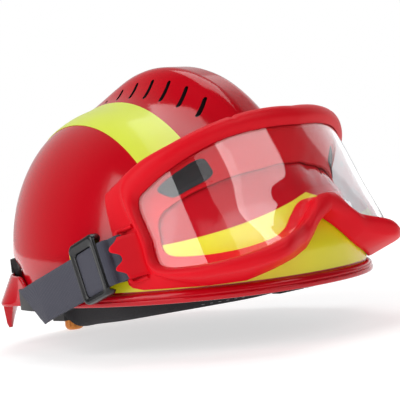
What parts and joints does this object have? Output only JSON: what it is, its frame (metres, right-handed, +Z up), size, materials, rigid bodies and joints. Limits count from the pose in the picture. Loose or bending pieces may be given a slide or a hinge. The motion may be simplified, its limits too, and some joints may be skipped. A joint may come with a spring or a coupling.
{
  "type": "vented safety helmet",
  "caption": "Rescue helmet with a raised vented crest, reflective stripes, a flared nape edge, adjustable harness, chin strap and clear goggles parked on the brow.",
  "frame": {"origin": "under the centre of the helmet's bounding box, at the height of the adjuster knob's foot", "axes": "+X forward, +Y to the wearer's left, +Z up through the crown, with the shell's rim level"},
  "size_m": [0.3242, 0.2464, 0.2005],
  "materials": {
    "shell_red": "glossy moulded shell",
    "film_lime": "fluorescent reflective film",
    "film_yellow": "reflective film",
    "foam": "foam with a fabric face",
    "black_plastic": "satin moulded plastic",
    "black_webbing": "woven webbing",
    "knob_orange": "satin moulded plastic",
    "frame_red": "soft gloss moulding",
    "lens_clear": "clear moulded polycarbonate",
    "strap_slate": "woven elastic"
  },
  "bodies": {
    "helmet": {"shell": "shell_red", "stripe_top_right": "film_lime", "stripe_top_left": "film_lime", "stripe_front": "film_yellow", "impact_liner": "foam", "crown_straps": "black_webbing", "crown_pad": "foam", "headband": "black_plastic", "sweatband": "foam", "suspension_clips": "black_plastic", "ratchet_housing": "black_plastic", "nape_pad": "foam", "chin_anchor_right": "black_plastic", "chin_anchor_left": "black_plastic", "chin_strap_right": "black_webbing", "chin_strap_left": "black_webbing", "chin_buckle_socket": "black_plastic", "strap_clip_right": "black_plastic", "strap_clip_left": "black_plastic", "goggle_strap_right": "strap_slate", "goggle_strap_left": "strap_slate", "strap_hook_right": "black_plastic", "strap_hook_left": "black_plastic"},
    "goggles": {"goggle_frame": "frame_red", "goggle_lens": "lens_clear", "goggle_vent_right": "black_plastic", "goggle_vent_left": "black_plastic"},
    "slider_right": {"slider_right": "black_plastic"},
    "slider_left": {"slider_left": "black_plastic"},
    "adjuster": {"ratchet_knob": "knob_orange", "ratchet_pinion": "knob_orange"},
    "arm_right": {"nape_arm_right": "black_plastic"},
    "arm_left": {"nape_arm_left": "black_plastic"},
    "buckle_plug": {"chin_buckle_plug": "black_plastic"}
  },
  "joints": [
    {"name": "goggles_pull", "type": "slide", "parent": "helmet", "child": "goggles", "axis": [0.8796, 0, 0.4756], "range_m": [0, 0.03], "stiffness_N_per_m": 90, "springref_m": -0.03, "deforming": ["goggle_strap_right", "goggle_strap_left"]},
    {"name": "slider_right_slide", "type": "slide", "parent": "helmet", "child": "slider_right", "axis": [0.9511, 0, 0.309], "range_m": [-0.012, 0.003]},
    {"name": "slider_left_slide", "type": "slide", "parent": "helmet", "child": "slider_left", "axis": [0.9511, 0, 0.309], "range_m": [-0.012, 0.003]},
    {"name": "adjuster_turn", "type": "hinge", "parent": "helmet", "child": "adjuster", "pos_m": [-0.15076, 0, 0], "axis": [0, 0, 1], "range_deg": [-100, 100]},
    {"name": "arm_right_swing", "type": "hinge", "parent": "helmet", "child": "arm_right", "pos_m": [-0.0806, 0, 0], "axis": [0, 0, 1], "range_deg": [-9, 9]},
    {"name": "arm_left_swing", "type": "hinge", "parent": "helmet", "child": "arm_left", "pos_m": [-0.0806, 0, 0], "axis": [0, 0, 1], "range_deg": [-9, 9]},
    {"name": "buckle_release", "type": "slide", "parent": "helmet", "child": "buckle_plug", "axis": [0, 1, 0], "range_m": [0, 0.018], "deforming": ["chin_strap_left"]}
  ],
  "couplings": [
    {"joint": "arm_right_swing", "follows": "adjuster_turn", "ratio": -0.074074},
    {"joint": "arm_left_swing", "follows": "adjuster_turn", "ratio": 0.064516}
  ]
}
